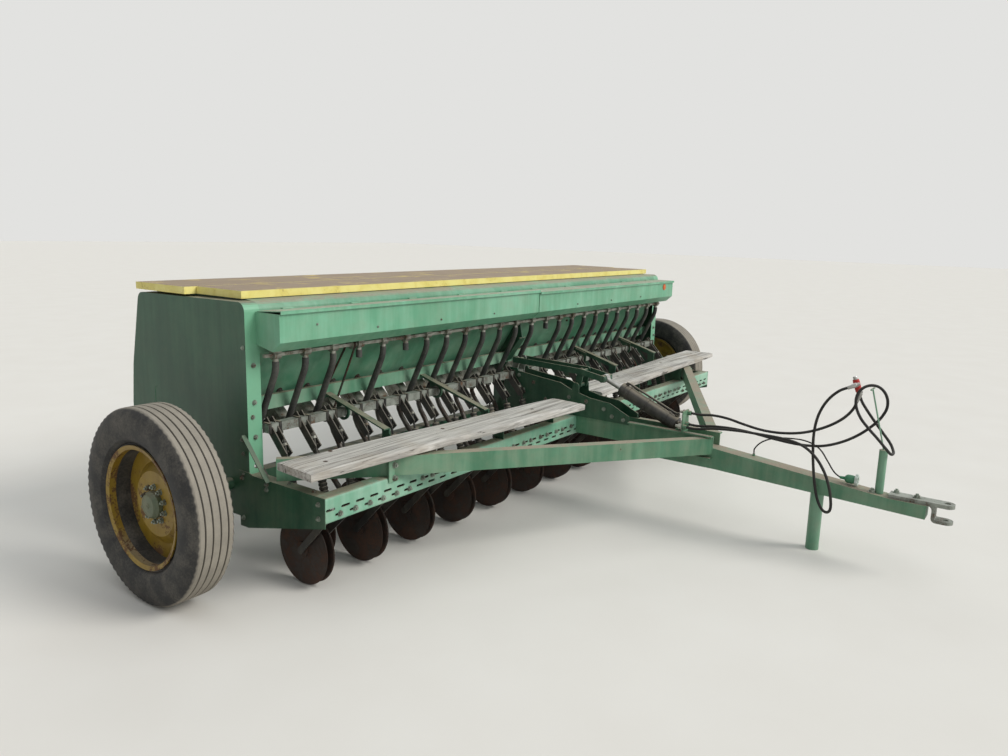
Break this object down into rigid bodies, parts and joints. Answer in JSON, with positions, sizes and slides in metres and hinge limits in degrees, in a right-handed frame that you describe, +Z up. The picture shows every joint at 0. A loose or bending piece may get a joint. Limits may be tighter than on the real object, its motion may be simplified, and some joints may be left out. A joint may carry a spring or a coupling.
{
  "type": "seed drill",
  "caption": "Towed seed drill with a lidded grain box, small-seed box, disc openers on a hydraulic lift, footboards, end wheels and a parking stand.",
  "frame": {"origin": "on the ground, at the middle of the overall box", "axes": "+X along the rows to the machine's left-hand end wheel as seen from the front, -Y to the hitch, +Z up"},
  "size_m": [5.328, 3.713, 1.384],
  "materials": {
    "green_paint": "faded green enamel, dusty",
    "dark_green_paint": "dark green enamel",
    "light_green_paint": "sun-bleached green enamel with rust",
    "yellow_paint": "faded yellow enamel, dusty",
    "wheel_yellow": "yellow enamel with rust and grime",
    "black_steel": "black paint and grease",
    "bare_steel": "dull zinc plated steel",
    "rusty_steel": "brown rusted steel",
    "rubber_tube": "ribbed black rubber",
    "tyre_rubber": "dusty tyre rubber",
    "weathered_wood": "grey weathered board",
    "hub_paint": "grey green hub cap"
  },
  "bodies": {
    "root": {"end_panel_left": "green_paint", "end_panel_right": "green_paint", "grain_box": "green_paint", "box_walls": "green_paint", "centre_bulkhead": "dark_green_paint", "box_rails": "light_green_paint", "front_rail": "light_green_paint", "corner_brackets": "dark_green_paint", "main_axle": "dark_green_paint", "brace_angles": "dark_green_paint", "feed_cups": "black_steel", "seed_box_left": "green_paint", "seed_box_right": "green_paint", "seed_feed": "bare_steel", "seed_tubes": "rubber_tube", "drive_chains": "rusty_steel", "plank_left": "weathered_wood", "plank_right": "weathered_wood", "hitch_diagonal_left": "green_paint", "hitch_diagonal_right": "green_paint", "hitch_beam": "green_paint", "centre_plates": "dark_green_paint", "tongue": "green_paint", "hitch_clevis": "rusty_steel", "hose_support": "light_green_paint", "lift_hoses": "rubber_tube", "light_lead": "rubber_tube", "hose_ends": "bare_steel"},
    "front_lid": {"front_lid": "yellow_paint"},
    "rear_lid": {"rear_lid": "yellow_paint"},
    "seed_lid_left": {"seed_lid_left": "green_paint"},
    "seed_lid_right": {"seed_lid_right": "green_paint"},
    "parking_stand": {"parking_stand": "light_green_paint"},
    "lift_hanger": {"lift_hanger": "dark_green_paint"},
    "lift_link": {"lift_link": "dark_green_paint"},
    "rockshaft": {"rockshaft": "black_steel", "rock_arms": "black_steel"},
    "openers": {"opener_arms": "black_steel", "pressure_rods": "black_steel"},
    "discs_front": {"discs_front": "rusty_steel"},
    "discs_rear": {"discs_rear": "rusty_steel"},
    "cylinder_barrel": {"cylinder_barrel": "black_steel"},
    "cylinder_rod": {"cylinder_rod": "bare_steel"},
    "wheel_left": {"tyre_left": "tyre_rubber", "rim_left": "wheel_yellow", "hub_left": "hub_paint"},
    "wheel_right": {"tyre_right": "tyre_rubber", "rim_right": "wheel_yellow", "hub_right": "hub_paint"}
  },
  "joints": [
    {"name": "wheel_left_spin", "type": "hinge", "parent": "root", "child": "wheel_left", "pos_m": [-2.56, 1.0005, 0.45], "axis": [1, 0, 0], "continuous": true},
    {"name": "wheel_right_spin", "type": "hinge", "parent": "root", "child": "wheel_right", "pos_m": [2.56, 1.0005, 0.45], "axis": [1, 0, 0], "continuous": true},
    {"name": "front_lid_hinge", "type": "hinge", "parent": "root", "child": "front_lid", "pos_m": [0, 1.2995, 1.384], "axis": [-1, 0, 0], "range_deg": [0, 85]},
    {"name": "rear_lid_hinge", "type": "hinge", "parent": "root", "child": "rear_lid", "pos_m": [0, 1.7425, 1.384], "axis": [-1, 0, 0], "range_deg": [0, 100]},
    {"name": "seed_lid_left_hinge", "type": "hinge", "parent": "root", "child": "seed_lid_left", "pos_m": [-1.06, 0.8375, 1.2973], "axis": [-1, 0, 0], "range_deg": [-4, 100]},
    {"name": "seed_lid_right_hinge", "type": "hinge", "parent": "root", "child": "seed_lid_right", "pos_m": [1.06, 0.8375, 1.2973], "axis": [-1, 0, 0], "range_deg": [0, 100]},
    {"name": "parking_stand_swing", "type": "hinge", "parent": "root", "child": "parking_stand", "pos_m": [0, -1.1975, 0.37], "axis": [1, 0, 0], "range_deg": [0, 90]},
    {"name": "lift", "type": "hinge", "parent": "root", "child": "rockshaft", "pos_m": [0, 0.8375, 0.735], "axis": [-1, 0, 0], "range_deg": [-12, 38]},
    {"name": "lift_hanger_swing", "type": "hinge", "parent": "root", "child": "lift_hanger", "pos_m": [0, 0.3295, 0.718], "axis": [-1, 0, 0], "range_deg": [-12.5, 38.5]},
    {"name": "lift_link_swing", "type": "hinge", "parent": "lift_hanger", "child": "lift_link", "pos_m": [0, 0.3095, 0.815], "axis": [-1, 0, 0], "range_deg": [-38.5, 12.5]},
    {"name": "openers_lift", "type": "hinge", "parent": "root", "child": "openers", "pos_m": [0, 0.3595, 0.428], "axis": [1, 0, 0], "range_deg": [-4.3, 13.4]},
    {"name": "discs_front_spin", "type": "hinge", "parent": "openers", "child": "discs_front", "pos_m": [0, 0.6025, 0.1795], "axis": [1, 0, 0], "continuous": true},
    {"name": "discs_rear_spin", "type": "hinge", "parent": "openers", "child": "discs_rear", "pos_m": [0, 0.7925, 0.1795], "axis": [1, 0, 0], "continuous": true},
    {"name": "cylinder_swing", "type": "hinge", "parent": "root", "child": "cylinder_barrel", "pos_m": [0, -0.3845, 0.551], "axis": [1, 0, 0], "range_deg": [-2.8, 0.95]},
    {"name": "cylinder_slide", "type": "slide", "parent": "cylinder_barrel", "child": "cylinder_rod", "axis": [0, 0.917, 0.3989], "range_m": [-0.0185, 0.058]}
  ],
  "couplings": [
    {"joint": "lift_hanger_swing", "follows": "lift", "ratio": 1},
    {"joint": "lift_link_swing", "follows": "lift", "ratio": -1},
    {"joint": "openers_lift", "follows": "lift", "ratio": 0.348},
    {"joint": "cylinder_swing", "follows": "lift", "ratio": -0.07},
    {"joint": "cylinder_slide", "follows": "lift", "m_per_rad": 0.0867}
  ]
}
